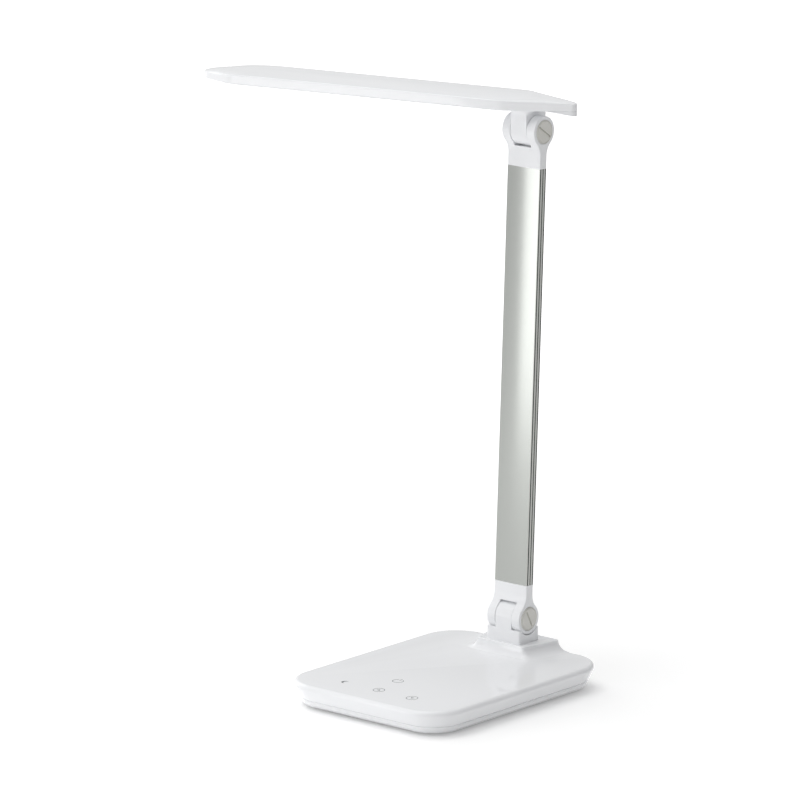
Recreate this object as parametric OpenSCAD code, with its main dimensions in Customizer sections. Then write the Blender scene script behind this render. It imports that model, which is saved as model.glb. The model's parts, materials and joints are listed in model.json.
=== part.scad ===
// Folding LED desk lamp. Millimetres, +Z up, front of the lamp towards -Y.
// The origin is the centre of the base's footprint on the desk.

/* [Base] */
// Width of the base, left to right
base_w = 140; // [130:1:160]
// Length of the base, front to back
base_l = 180; // [176:1:200]
// Corner radius of the base outline
base_r = 27; // [22:1:34]
// Height of the base's flat top above the desk
base_top = 18; // [17.6:0.1:18.2]
// Radius of the edge between the top and the side
base_edge_r = 3; // [2:0.5:4]
// How far the side leans in at its foot
base_lean_in = 5.2; // [3:0.1:6]
// Height of the seam between the top shell and the tray
seam_z = 6.5; // [6:0.1:7]
// Gap between the tray and the desk
foot_h = 2; // [1.6:0.1:2.4]
// Wall thickness of the base mouldings
base_wall = 2.2; // [2:0.1:2.6]

/* [Pedestal] */
// Height of the pedestal's rim above the desk
pedestal_top = 25.2; // [24.8:0.1:25.6]
// Half width of the pedestal's rim at the front
pedestal_front_half = 19.5; // [18.5:0.5:22]
// Half width of the pedestal's rim at the back
pedestal_back_half = 26; // [24:0.5:30]
// How far the hollow flank spreads out sideways
flank_side = 11; // [8:0.5:13]
// How far the hollow flank spreads out forwards
flank_front = 4.5; // [3:0.5:6]

/* [Hinges] */
// Distance of the lower hinge axis behind the base's centre
hinge_y = 71.3; // [71:0.1:72]
// Height of the lower hinge axis above the desk
hinge_z = 41; // [41:0.1:42]
// Radius of the round hinge ears
ear_r = 10.25; // [9.5:0.05:10.5]
// Half width of the knuckle between the ears
knuckle_half = 6.8; // [6:0.1:6.9]
// Radius of the hinge pins
pin_r = 3; // [2.5:0.1:3.2]
// Radius of the slotted covers over the pins
cover_r = 8; // [7.6:0.1:8.2]

/* [Arm] */
// Distance between the two hinge axes
arm_pitch = 333; // [331:1:340]
// Backward lean of the arm, degrees
arm_lean = 2.4; // [0:0.1:5]
// Width of the aluminium profile
arm_w = 28; // [27:0.5:28]
// Thickness of the profile at its narrow sides
arm_t = 6.8; // [6.4:0.1:7.2]
// Bulge of each wide face
arm_crown = 0.7; // [0.4:0.1:0.9]
// Distance from a hinge axis to the end of the profile
arm_inset = 24.5; // [22:0.5:28]

/* [Head] */
// Turn of the head away from straight ahead, degrees
head_turn = 77.5; // [0:0.5:90]
// Width of the head
head_w = 44; // [43:1:46]
// Reach of the head from the swivel axis to its tip
head_reach = 246; // [244:0.5:248]
// Length of the head behind the swivel axis
head_tail = 36; // [34:0.5:38]
// Radius of the blunt tip in plan
tip_r = 13; // [11:0.5:15]
// Radius of the pointed tail in plan
tail_r = 4; // [3:0.5:6]
// Height of the head's underside above the upper hinge axis
head_under = 15.4; // [15.2:0.1:15.6]
// Thickness of the head
head_t = 6.9; // [6.8:0.1:7]

/* [Hidden] */

$fn = 96;
lap = 0.01;      // overshoot of a cut past the face it opens
far = 60;        // longer than any cut needs

// Base
widest_z = base_top - base_edge_r;
tray_edge = 1.6;
seam_v = 0.4;    // depth of the shadow line at the seam
tongue_h = 1.4;  // lip of the tray inside the shell
fit_gap = 0.1;
ring_inset = 13;
ring_band = 5;
ring_seat = 0.8;
post_x = 52;     // corner screw posts
post_y = 68;
post_r = 4.2;
screw_r = 1.5;
screw_head_r = 2.9;
screw_head_h = 1.8;
post_seat_z = 5.2;   // where the heads of the base screws bear

// Ballast
ballast_w = 94;
ballast_l = 112;
ballast_t = 5;
ballast_y = -14;
ballast_z = 5.4;
ballast_screw_x = 42.5;
ballast_screw_y = 48;
rib_t = 1.4;

// Electronics in the base
board_w = 78;
board_l = 44;
board_t = 1.6;
board_y = -56;
board_z = 12.4;
board_screw_x = 35;
board_screw_y = 18;
board_screw_r = 1;
board_post_r = 2.4;
spring_r = 5;
spring_end_t = 0.4;
pads = [[-31, -66], [-1.5, -66], [28, -66], [-4.5, -42]];
jack_w = 9;
jack_l = 13;
jack_h = 7.4;
jack_z = 11.2;
jack_bore_r = 3.1;
jack_bore_l = 9;
jack_pin_r = 1;
jack_back = 84.2;
jack_mouth_r = 4.4;
jack_wall_half = 7;

// Pedestal
pedestal_front = 57.5;
pedestal_back = 88.6;
pedestal_corner_r = 2.4;
flank_steps = 6;
recess_t = 0.6;      // the block sits this deep in the pedestal's top
recess_gap = 2.4;
plate_t = 2;
plate_w = 34;
plate_l = 24;
roof_t = 2.6;

// Hinge block and knuckles
block_half_x = 14.5;
block_half_y = 10.25;
block_corner_r = 1.5;
block_foot = pedestal_top - recess_t;
shoulder_z = 34;
seat_r = 11.15;
knuckle_r = ear_r;
bore_r = pin_r + 0.05;
block_screw_x = 10;
block_screw_y = 6;
block_screw_l = 10;
wire_r = 1.4;
wire_y = 5.2;

// Clevises
ear_in = 7.3;            // inner face of an ear
ear_out = arm_w / 2;
slot_gap = 0.45;         // gap between the web and the knuckle
lower_slot = 10.8;       // the lower slot ends straight, clear of the block when the arm is down
lead_inset = 11.5;       // distance of the lead's ends from the hinge axes
flare_r = 12;            // hollow blend between an ear and the web
flare_t = arm_t / 2 + flare_r;
flare_s = sqrt(pow(ear_r + flare_r, 2) - pow(flare_t, 2));
blend = ear_r / (ear_r + flare_r);
tongue_w = 21;
tongue_t = 3.8;
tongue_l = 17;
cover_t = 1.6;
cover_proud = 0.5;
cover_slot_w = 1.3;
cover_slot_l = 13.6;
cover_slot_d = 0.8;
well_r = 5.9;            // room for the nut and the pin's head
well_d = 3.3;
well_floor = ear_out - cover_t - well_d;
pin_head_r = 5.2;
pin_head_t = 2.4;
nut_across = 8;
nut_t = 2;
spring_t = 0.5;
friction_t = 0.45;
lower_slot_turn = -27;
upper_slot_turn = -52;

// Arm profile
profile_wall = 1.5;
groove_w = 0.9;
groove_d = 0.8;
groove_t = 1.15;         // distance of each groove from the middle
crown_r = (pow(arm_w / 2, 2) + pow(arm_crown, 2)) / (2 * arm_crown);
arm_l = arm_pitch - 2 * arm_inset;
lead_w = 4;
lead_t = 1.2;
clevis_screw_s = 33;
clevis_screw_x = 6.5;
clevis_screw_r = 1.2;
clevis_screw_head_r = 2.1;
clevis_screw_seat = arm_t / 2 - 0.7;

// Head
under = head_under;
roof = head_under + head_t;
head_wall = 1.6;
slice = 0.1;             // thickness of each level that the head is drawn over
// Levels of the head from its underside to its top: [height, inset all round,
// further shortening of the tail, further shortening of the tip]
levels = [[0, 0.4, 0, 0], [1.2, 0, 0, 0], [head_t - 2.4, 0, 0, 0], [head_t - 1.6, 0, 0.6, 5.5],
          [head_t - 1.1, 0.04, 4, 11], [head_t - 0.7, 0.15, 9.5, 18], [head_t - 0.35, 0.4, 17, 25],
          [head_t - slice, 0.8, 26, 34]];
// The hollow inside it, one wall thickness further in and down
hollow = [for (v = levels) [v[0] - head_wall, v[1] + head_wall, v[2], v[3]]];
body_r = 20;             // rounding where the straight sides turn in towards the tail and the tip
tail_start = 14.5;       // the sides turn in this far ahead of the swivel axis
tip_start = 212.5;       // and again this far ahead of it
end_spread = 0.4;        // growth of an end's radius with its shortening
frame_in = head_wall + 0.15;
frame_t = 1.8;
neck_half_y = 7.6;
neck_top = 15.1;
trumpet_h = 11;
trumpet_r = 13.4;
trumpet_rim = 0.5;
thrust_t = head_under - neck_top - 0.02;
tube_r = 4;
tube_foot = 6;
tube_wall = 1.4;
tube_bore_r = tube_r + 0.05;
washer_r = 8.2;
heel_start = 18;        // the wedge under the tail begins this far behind the swivel axis
heel_drop = 3.3;
heel_in = 0.1;
window_front = head_reach - 33;
window_back = 28;
window_w = 33;
window_l = window_front - window_back;
window_y = -(window_front + window_back) / 2;
diffuser_drop = 0.2;     // the diffuser lies this much above the underside
flange_t = 0.7;
flange_w = 1.5;
guide_t = 1.4;
guide_gap = 1;
sheet_t = 0.3;
plate_head_t = 0.5;
bar_t = 1;
bar_h = 1.7;
chip_count = 19;
chip_pitch = 9.6;
chip_w = 3.2;
chip_h = 1.2;
chip_t = 0.6;
stack_z = head_under + frame_t + flange_t;
head_post_r = 2.3;
head_posts = [[-13, -16], [13, -16], [-9.5, 15 - head_reach], [9.5, 15 - head_reach]];
head_screw_r = 1;
head_screw_l = 3;
head_screw_head_r = 1.8;
head_screw_sink = 0.9;

// ---------------------------------------------------------------- shared shapes

function arc(cx, cy, r, a0, a1, n) =
    [for (i = [0 : n]) let (a = a0 + (a1 - a0) * i / n) [cx + r * cos(a), cy + r * sin(a)]];
function lean_in(z) = base_lean_in * (widest_z - z) / (widest_z - foot_h - tray_edge);
function across(half, side) = concat(
    [for (p = side) [half - p[0], p[1]]],
    [for (i = [len(side) - 1 : -1 : 0]) [side[i][0] - half, side[i][1]]]);

// A slab with rounded corners whose side follows the points [inset, height], foot to top.
module slab(w, l, r, side) {
    foot = side[0][1];
    top = side[len(side) - 1][1];
    for (sx = [-1, 1], sy = [-1, 1])
        translate([sx * (w / 2 - r), sy * (l / 2 - r), 0])
            rotate_extrude()
                polygon(concat([[0, foot]], [for (p = side) [r - p[0], p[1]]], [[0, top]]));
    rotate([90, 0, 0])
        linear_extrude(l - 2 * r, center = true) polygon(across(w / 2, side));
    rotate([90, 0, 90])
        linear_extrude(w - 2 * r, center = true) polygon(across(l / 2, side));
}

module rounded_plate(w, l, r, h) {
    for (sx = [-1, 1], sy = [-1, 1])
        translate([sx * (w / 2 - r), sy * (l / 2 - r), 0]) cylinder(r = r, h = h);
    translate([-w / 2, r - l / 2, 0]) cube([w, l - 2 * r, h]);
    translate([r - w / 2, -l / 2, 0]) cube([w - 2 * r, l, h]);
}

module box(w, l, h) translate([-w / 2, -l / 2, 0]) cube([w, l, h]);

// A round bar along X.
module bar_x(r, x0, x1) translate([x0, 0, 0]) rotate([0, 90, 0]) cylinder(r = r, h = x1 - x0);

module ring_x(r, hole_r, x0, x1) {
    difference() {
        bar_x(r, x0, x1);
        bar_x(hole_r, x0 - lap, x1 + lap);
    }
}

// A screw pointing up, its head's underside at the origin.
module screw(shank_r, shank_l, head_r, head_h) {
    cylinder(r = shank_r, h = shank_l);
    difference() {
        translate([0, 0, -head_h]) cylinder(r = head_r, h = head_h);
        for (a = [0, 90])
            rotate([0, 0, a])
                translate([0, 0, -head_h - lap]) box(head_r * 1.2, head_r * 0.3, head_h * 0.5);
    }
}

module at_posts() for (sx = [-1, 1], sy = [-1, 1]) translate([sx * post_x, sy * post_y, 0]) children();
module at_ballast_screws()
    for (sx = [-1, 1], sy = [-1, 1])
        translate([sx * ballast_screw_x, ballast_y + sy * ballast_screw_y, 0]) children();
module at_board_screws()
    for (sx = [-1, 1], sy = [-1, 1])
        translate([sx * board_screw_x, board_y + sy * board_screw_y, board_z + board_t]) children();
module at_block_screws()
    for (sx = [-1, 1], sy = [-1, 1])
        translate([sx * block_screw_x, hinge_y + sy * block_screw_y, 0]) children();

// Local frames: the lower hinge with +Z up the arm, the upper hinge, and the turned head.
module on_arm() translate([0, hinge_y, hinge_z]) rotate([-arm_lean, 0, 0]) children();
module on_arm_top() on_arm() translate([0, 0, arm_pitch]) mirror([0, 0, 1]) children();
module at_upper_hinge()
    translate([0, hinge_y + arm_pitch * sin(arm_lean), hinge_z + arm_pitch * cos(arm_lean)]) children();
module on_head() at_upper_hinge() rotate([0, 0, -head_turn]) children();

// ---------------------------------------------------------------- base

module pedestal_level(i) {
    a = 90 * i / flank_steps;
    side = flank_side * (1 - cos(a));
    front = pedestal_front - flank_front * (1 - cos(a));
    z = pedestal_top - (pedestal_top - base_top + lap) * sin(a);
    r = pedestal_corner_r + 4 * (1 - cos(a));
    for (sx = [-1, 1]) {
        translate([sx * (pedestal_front_half + side - r), front + r, z - lap])
            cylinder(r = r, h = lap, $fn = 32);
        translate([sx * (pedestal_back_half + side - r), pedestal_back - r, z - lap])
            cylinder(r = r, h = lap, $fn = 32);
    }
}

module pedestal() {
    for (i = [0 : flank_steps - 1])
        hull() {
            pedestal_level(i);
            pedestal_level(i + 1);
        }
}

module base_top_shell() color("white") {
    difference() {
        union() {
            slab(base_w, base_l, base_r, concat(
                [[lean_in(seam_z) + seam_v, seam_z], [lean_in(seam_z + seam_v), seam_z + seam_v]],
                arc(base_edge_r, widest_z, base_edge_r, 180, 90, 6)));
            pedestal();
        }
        // hollow under the top, the room under the pedestal and the seat of the block
        difference() {
            slab(base_w, base_l, base_r, concat(
                [[lean_in(seam_z) + base_wall, seam_z - lap], [base_wall, widest_z - 1]],
                [[base_wall + 1, base_top - base_wall]]));
            at_posts() cylinder(r = post_r, h = far);
            at_board_screws() cylinder(r = board_post_r, h = far);
            translate([-jack_wall_half, jack_back + fit_gap, 0]) cube([2 * jack_wall_half, far, far]);
        }
        translate([0, hinge_y, seam_z]) box(plate_w + 1, plate_l + 1, block_foot - roof_t - seam_z);
        translate([0, hinge_y, block_foot])
            rounded_plate(2 * (block_half_x + recess_gap), 2 * (block_half_y + recess_gap),
                          block_corner_r + recess_gap, far);
        at_posts() translate([0, 0, seam_z - lap]) cylinder(r = screw_r, h = 8);
        at_board_screws() translate([0, 0, -lap]) cylinder(r = board_screw_r, h = 1.9);
        at_block_screws() cylinder(r = screw_r + 0.2, h = far);
        translate([0, hinge_y + wire_y, 0]) cylinder(r = wire_r, h = far);
        // mouth of the power socket
        translate([0, jack_back, jack_z]) rotate([-90, 0, 0]) cylinder(r = jack_mouth_r, h = far);
    }
}

module base_bottom_tray() color("white") {
    difference() {
        union() {
            difference() {
                slab(base_w, base_l, base_r, [
                    [base_lean_in + tray_edge, foot_h], [base_lean_in, foot_h + tray_edge],
                    [lean_in(seam_z - seam_v), seam_z - seam_v], [lean_in(seam_z) + seam_v, seam_z]]);
                slab(base_w, base_l, base_r, [
                    [base_lean_in + base_wall + 1, foot_h + base_wall],
                    [base_lean_in + base_wall, foot_h + base_wall + 1],
                    [lean_in(seam_z) + base_wall, seam_z + lap]]);
            }
            // lip that centres the shell
            difference() {
                slab(base_w, base_l, base_r, [
                    [lean_in(seam_z) + base_wall + fit_gap + 0.4, foot_h + base_wall],
                    [lean_in(seam_z) + base_wall + fit_gap, seam_z],
                    [lean_in(seam_z) + base_wall + fit_gap, seam_z + tongue_h]]);
                slab(base_w, base_l, base_r, [
                    [lean_in(seam_z) + base_wall + 1.6, 0],
                    [lean_in(seam_z) + base_wall + 1.6, seam_z + tongue_h + lap]]);
                // room for the screw posts
                at_posts() translate([0, 0, seam_z]) cylinder(r = post_r + 0.3, h = far);
                translate([0, jack_back - jack_l / 2, seam_z]) box(jack_w + 0.4, jack_l + 1, far);
            }
            at_posts() translate([0, 0, foot_h]) cylinder(r = post_r, h = seam_z - foot_h);
            at_ballast_screws() translate([0, 0, foot_h]) cylinder(r = post_r, h = ballast_z - foot_h);
            for (x = [-1 : 1])
                translate([x * ballast_w / 5, ballast_y, foot_h])
                    box(rib_t, ballast_l - 16, ballast_z - foot_h);
            // stand under the power socket
            translate([0, jack_back - jack_l / 2, foot_h])
                box(jack_w - 2, jack_l - 4, jack_z - jack_h / 2 - foot_h);
        }
        at_posts() {
            cylinder(r = screw_r + 0.2, h = far);
            cylinder(r = screw_head_r + 0.3, h = post_seat_z);
        }
        at_ballast_screws() translate([0, 0, foot_h + 1]) cylinder(r = screw_r, h = far);
        difference() {
            translate([0, 0, -lap])
                rounded_plate(base_w - 2 * ring_inset, base_l - 2 * ring_inset, base_r - 8,
                              foot_h + ring_seat + lap);
            translate([0, 0, -far / 2])
                rounded_plate(base_w - 2 * (ring_inset + ring_band), base_l - 2 * (ring_inset + ring_band),
                              base_r - 13, far);
        }
    }
}

module foot_ring() color("gainsboro") {
    difference() {
        rounded_plate(base_w - 2 * ring_inset, base_l - 2 * ring_inset, base_r - 8, foot_h + ring_seat);
        translate([0, 0, -lap])
            rounded_plate(base_w - 2 * (ring_inset + ring_band), base_l - 2 * (ring_inset + ring_band),
                          base_r - 13, far);
    }
}

module ballast_plate() color("dimgray") {
    difference() {
        translate([0, ballast_y, ballast_z]) rounded_plate(ballast_w, ballast_l, 6, ballast_t);
        at_ballast_screws() cylinder(r = screw_r + 0.2, h = far);
    }
}

module ballast_screws() color("silver") {
    at_ballast_screws()
        translate([0, 0, ballast_z + ballast_t]) mirror([0, 0, 1])
            screw(screw_r, ballast_t + 2, screw_head_r, screw_head_h);
}

module base_screws() color("silver") {
    at_posts() translate([0, 0, post_seat_z]) screw(screw_r, 9, screw_head_r, screw_head_h);
}

module control_board() color("darkgreen") {
    difference() {
        translate([0, board_y, board_z]) rounded_plate(board_w, board_l, 2, board_t);
        at_board_screws() cylinder(r = board_screw_r, h = far, center = true);
    }
    // controller, driver and inductor on the underside
    translate([-20, board_y + 10, board_z - 1]) box(7, 7, 1);
    translate([4, board_y + 10, board_z - 0.9]) box(5, 4, 0.9);
    translate([20, board_y + 8, board_z - 1.2]) cylinder(r = 3, h = 1.2);
}

module board_screws() color("silver") {
    at_board_screws() translate([0, 0, -board_t]) screw(board_screw_r, board_t + 1.8, 1.8, 1);
}

// A pad spring under each touch sign, from the board to the underside of the top.
module touch_springs() color("goldenrod") {
    spring_l = base_top - base_wall - board_z - board_t;
    for (p = pads)
        translate([p[0], p[1], board_z + board_t]) {
            cylinder(r = spring_r, h = spring_end_t);
            cylinder(r = spring_r / 3, h = spring_l);
            translate([0, 0, spring_l - spring_end_t]) cylinder(r = spring_r, h = spring_end_t);
        }
}

module dc_jack() color("black") {
    difference() {
        translate([0, jack_back - jack_l / 2, jack_z - jack_h / 2]) box(jack_w, jack_l, jack_h);
        translate([0, jack_back - jack_bore_l, jack_z])
            rotate([-90, 0, 0]) cylinder(r = jack_bore_r, h = far);
    }
    translate([0, jack_back - jack_bore_l - 0.5, jack_z])
        rotate([-90, 0, 0]) cylinder(r = jack_pin_r, h = jack_bore_l);
}

module hinge_plate() color("silver") {
    difference() {
        translate([0, hinge_y, block_foot - roof_t - plate_t]) rounded_plate(plate_w, plate_l, 2, plate_t);
        at_block_screws() cylinder(r = screw_r + 0.2, h = far);
        translate([0, hinge_y + wire_y, 0]) cylinder(r = wire_r + 0.6, h = far);
    }
}

module block_screws() color("silver") {
    at_block_screws()
        translate([0, 0, block_foot - roof_t - plate_t])
            screw(screw_r, block_screw_l, screw_head_r, screw_head_h);
}

module hinge_block() color("white") {
    translate([0, hinge_y, 0])
        difference() {
            union() {
                translate([0, 0, block_foot])
                    rounded_plate(2 * block_half_x, 2 * block_half_y, block_corner_r, shoulder_z - block_foot);
                // the knuckle rises flush with the block's front and back
                translate([-knuckle_half, -knuckle_r, block_foot + 2])
                    cube([2 * knuckle_half, 2 * knuckle_r, hinge_z - block_foot - 2]);
                translate([0, 0, hinge_z]) bar_x(knuckle_r, -knuckle_half, knuckle_half);
            }
            // scooped seats under the ears
            for (sx = [0, 1])
                mirror([sx, 0, 0]) translate([0, 0, hinge_z]) bar_x(seat_r, knuckle_half, far);
            translate([0, 0, hinge_z]) bar_x(bore_r, -far, far);
            translate([0, wire_y, 0]) cylinder(r = wire_r, h = far);
            for (sx = [-1, 1], sy = [-1, 1])
                translate([sx * block_screw_x, sy * block_screw_y, 0])
                    cylinder(r = screw_r, h = block_foot - roof_t - plate_t + block_screw_l + 0.2);
        }
}

// ---------------------------------------------------------------- arm

// Side outline of an arm end, drawn across X: round ear, hollow blends, flat web.
module ear_outline() {
    rotate([90, 0, 90])
        difference() {
            union() {
                linear_extrude(arm_w, center = true)
                    polygon([[-ear_r * flare_t / (ear_r + flare_r), flare_s * blend],
                             [ear_r * flare_t / (ear_r + flare_r), flare_s * blend],
                             [arm_t / 2, flare_s], [arm_t / 2, arm_inset],
                             [-arm_t / 2, arm_inset], [-arm_t / 2, flare_s]]);
                cylinder(r = ear_r, h = arm_w, center = true);
            }
            for (sy = [-1, 1])
                translate([sy * flare_t, flare_s, 0]) cylinder(r = flare_r, h = arm_w + 1, center = true);
        }
}

// Outer section of the aluminium profile: flat narrow sides, gently bulging wide faces.
module profile_bar(l) {
    intersection() {
        box(arm_w, arm_t + 2 * arm_crown, l);
        translate([0, arm_t / 2 + arm_crown - crown_r, 0]) cylinder(r = crown_r, h = l, $fn = 360);
        translate([0, crown_r - arm_t / 2 - arm_crown, 0]) cylinder(r = crown_r, h = l, $fn = 360);
    }
}

// Bracket on one end of the arm; its slot runs straight past the axis by the given length.
module clevis(straight) {
    difference() {
        union() {
            ear_outline();
            translate([0, 0, flare_s]) profile_bar(arm_inset - flare_s);
            translate([0, 0, arm_inset]) box(tongue_w, tongue_t, tongue_l);
        }
        translate([-ear_in, -far / 2, -far / 2]) cube([2 * ear_in, far, far / 2 + straight]);
        bar_x(knuckle_r + slot_gap, -ear_in, ear_in);
        bar_x(pin_r, -far / 2, far / 2);
        for (sx = [0, 1])
            mirror([sx, 0, 0]) {
                bar_x(well_r, well_floor, far);
                bar_x(cover_r + 0.1, ear_out - cover_t, far);
            }
        // duct for the lead and holes for the screws that hold the profile
        box(lead_w + 1, lead_t, far);
        for (sx = [-1, 1])
            translate([sx * clevis_screw_x, 0, clevis_screw_s])
                rotate([-90, 0, 0]) cylinder(r = clevis_screw_r, h = far, center = true);
    }
}

module pin() {
    bar_x(pin_r, -well_floor - spring_t * 2 - nut_t - 0.2, well_floor + lap);
    bar_x(pin_head_r, well_floor, well_floor + pin_head_t);
}

module pin_nut() {
    difference() {
        translate([-well_floor - 2 * spring_t - nut_t, 0, 0])
            rotate([0, 90, 0]) cylinder(d = nut_across / cos(30), h = nut_t, $fn = 6);
        bar_x(pin_r, -far, far);
    }
}

module spring_washers() {
    for (i = [0, 1])
        translate([-well_floor - (i + 1) * spring_t, 0, 0]) ring_x(5.4 - 0.4 * i, pin_r, 0, spring_t);
}

module friction_washers() {
    for (sx = [0, 1])
        mirror([sx, 0, 0]) ring_x(8.6, pin_r, ear_in - friction_t, ear_in);
}

module slotted_covers(turn) {
    for (sx = [0, 1])
        mirror([sx, 0, 0])
            difference() {
                union() {
                    bar_x(cover_r, ear_out - cover_t, ear_out);
                    bar_x(cover_r - 0.5, ear_out - lap, ear_out + cover_proud);
                }
                translate([ear_out + cover_proud - cover_slot_d, 0, 0])
                    rotate([turn, 0, 0])
                        translate([0, -cover_slot_w / 2, -cover_slot_l / 2])
                            cube([far, cover_slot_w, cover_slot_l]);
            }
}

module arm_profile() color("lightgray") {
    on_arm()
        translate([0, 0, arm_inset])
            difference() {
                profile_bar(arm_l);
                translate([0, 0, -lap]) box(arm_w - 2 * profile_wall - 3, tongue_t, arm_l + 1);
                for (sx = [-1, 1], sy = [-1, 1])
                    translate([sx * arm_w / 2, sy * groove_t, -lap])
                        box(2 * groove_d, groove_w, arm_l + 1);
                for (sx = [-1, 1], s = [clevis_screw_s, arm_pitch - clevis_screw_s])
                    translate([sx * clevis_screw_x, 0, s - arm_inset])
                        rotate([-90, 0, 0]) {
                            cylinder(r = clevis_screw_r, h = far);
                            translate([0, 0, clevis_screw_seat]) cylinder(r = clevis_screw_head_r + 0.1, h = far);
                        }
            }
}

module arm_lead() color("white") {
    on_arm()
        translate([0, 0, lead_inset]) box(lead_w, lead_t, arm_pitch - 2 * lead_inset);
}

module clevis_screws() color("silver") {
    on_arm()
        for (sx = [-1, 1], s = [clevis_screw_s, arm_pitch - clevis_screw_s])
            translate([sx * clevis_screw_x, clevis_screw_seat, s])
                rotate([90, 0, 0]) screw(clevis_screw_r, 3.5, clevis_screw_head_r, 1);
}

module lower_clevis() color("white") on_arm() clevis(lower_slot);
module lower_pin() color("silver") on_arm() pin();
module lower_pin_nut() color("silver") on_arm() pin_nut();
module lower_spring_washers() color("goldenrod") on_arm() spring_washers();
module lower_friction_washers() color("black") on_arm() friction_washers();
module lower_covers() color("tan") on_arm() slotted_covers(lower_slot_turn);

module upper_clevis() color("white") on_arm_top() clevis(0);
module upper_pin() color("silver") on_arm_top() pin();
module upper_pin_nut() color("silver") on_arm_top() pin_nut();
module upper_spring_washers() color("goldenrod") on_arm_top() spring_washers();
module upper_friction_washers() color("black") on_arm_top() friction_washers();
module upper_covers() color("tan") on_arm_top() slotted_covers(upper_slot_turn);

// ---------------------------------------------------------------- head knuckle and swivel

module head_knuckle() color("white") {
    at_upper_hinge()
        difference() {
            union() {
                bar_x(knuckle_r, -knuckle_half, knuckle_half);
                box(2 * knuckle_half, 2 * neck_half_y, neck_top - trumpet_rim - 0.4);
                // trumpet that spreads the neck under the head
                rotate_extrude()
                    polygon(concat([[0, trumpet_h]],
                        [for (a = [0 : 11.25 : 90])
                            [knuckle_half + (trumpet_r - knuckle_half) * (1 - cos(a)),
                             trumpet_h + (neck_top - trumpet_rim - trumpet_h) * sin(a)]],
                        [[trumpet_r, neck_top], [0, neck_top]]));
            }
            bar_x(bore_r, -far, far);
            // the lead passes behind the pin and turns into the tube
            translate([0, wire_y, -knuckle_r]) cylinder(r = wire_r, h = knuckle_r + tube_foot);
            translate([-wire_r, 0, tube_foot]) cube([2 * wire_r, wire_y + wire_r, 2 * wire_r]);
            translate([0, 0, tube_foot]) cylinder(r = tube_r, h = far);
        }
}

module swivel_tube() color("silver") {
    at_upper_hinge()
        difference() {
            translate([0, 0, tube_foot]) cylinder(r = tube_r, h = roof - head_wall - 0.4 - tube_foot);
            cylinder(r = tube_r - tube_wall, h = far);
            translate([-wire_r, 0, tube_foot]) cube([2 * wire_r, far, 2 * wire_r]);
        }
}

module swivel_washer() color("black") {
    at_upper_hinge()
        translate([0, 0, neck_top])
            difference() {
                cylinder(r = trumpet_r - 1, h = thrust_t);
                translate([0, 0, -lap]) cylinder(r = tube_r, h = far);
            }
}

module swivel_nut() color("silver") {
    at_upper_hinge()
        translate([0, 0, under + frame_t + 0.1])
            difference() {
                union() {
                    cylinder(r = washer_r, h = 0.5);
                    translate([0, 0, 0.5]) cylinder(r = 6.4, h = 1.8, $fn = 6);
                }
                translate([0, 0, -lap]) cylinder(r = tube_r, h = far);
            }
}

// ---------------------------------------------------------------- head

// Angle between the tangents that join the body's rounding to an end of radius r at distance l.
function taper(r, l) =
    let (w = head_w / 2 - body_r) atan(w / l) + asin((body_r - r) / sqrt(pow(l, 2) + pow(w, 2)));

// Outline of the head in plan, moved in by d all round.
function head_outline(d) =
    let (x = head_w / 2 - body_r, r = body_r - d,
         tail = taper(tail_r, head_tail - tail_r + tail_start),
         tip = taper(tip_r, head_reach - tip_r - tip_start))
    concat(
        arc(x, -tail_start, r, 0, tail, 8),
        arc(0, head_tail - tail_r, tail_r - d, tail, 180 - tail, 16),
        arc(-x, -tail_start, r, 180 - tail, 180, 8),
        arc(-x, -tip_start, r, 180, 180 + tip, 8),
        arc(0, tip_r - head_reach, tip_r - d, 180 + tip, 360 - tip, 24),
        arc(x, -tip_start, r, 360 - tip, 360, 8));

module head_disc(x, y, r) translate([x, y, 0]) cylinder(r = r, h = slice, $fn = 64);

// Thin slice of the head at one level: a pointed tail, straight sides and a blunt tip.
module head_level(v) {
    x = head_w / 2 - body_r;
    front = min(tip_start, head_reach - v[3] - body_r);
    tail = min(tail_r + end_spread * v[2], body_r);
    tip = min(tip_r + end_spread * v[3], body_r);
    translate([0, 0, v[0]]) {
        head_disc(0, head_tail - v[2] - tail, tail - v[1]);
        head_disc(0, tip + v[3] - head_reach, tip - v[1]);
        for (sx = [-1, 1]) {
            head_disc(sx * x, -tail_start, body_r - v[1]);
            head_disc(sx * x, -front, body_r - v[1]);
        }
    }
}

module head_bar(list) translate([0, 0, under]) hull() for (v = list) head_level(v);

module at_head_posts() for (p = head_posts) translate([p[0], p[1], under]) children();

module head_layer(w, l, z, t) translate([0, window_y, z]) box(w, l, t);

module head_top_shell() color("white") {
    on_head()
        difference() {
            head_bar(levels);
            difference() {
                head_bar(hollow);
                at_head_posts() translate([0, 0, frame_t]) cylinder(r = head_post_r, h = far);
            }
            at_head_posts() cylinder(r = head_screw_r, h = head_screw_sink + head_screw_l + 0.2);
        }
}

// Wedge under the tail that deepens towards its point.
module heel() {
    r = tail_r - heel_in;
    y = head_tail - tail_r;
    turn = taper(tail_r, y + tail_start);
    half = r * cos(turn) + (y + r * sin(turn) - heel_start) * tan(turn);
    point = arc(0, y, r, turn, 180 - turn, 16);
    difference() {
        translate([0, 0, under - heel_drop])
            linear_extrude(heel_drop)
                polygon(concat([[half, heel_start]], point, [[-half, heel_start]]));
        translate([0, heel_start, under]) rotate([-atan(heel_drop / (head_tail - heel_start)), 0, 0])
            translate([-far / 2, -far, -far]) cube([far, 2 * far, far]);
    }
}

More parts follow.
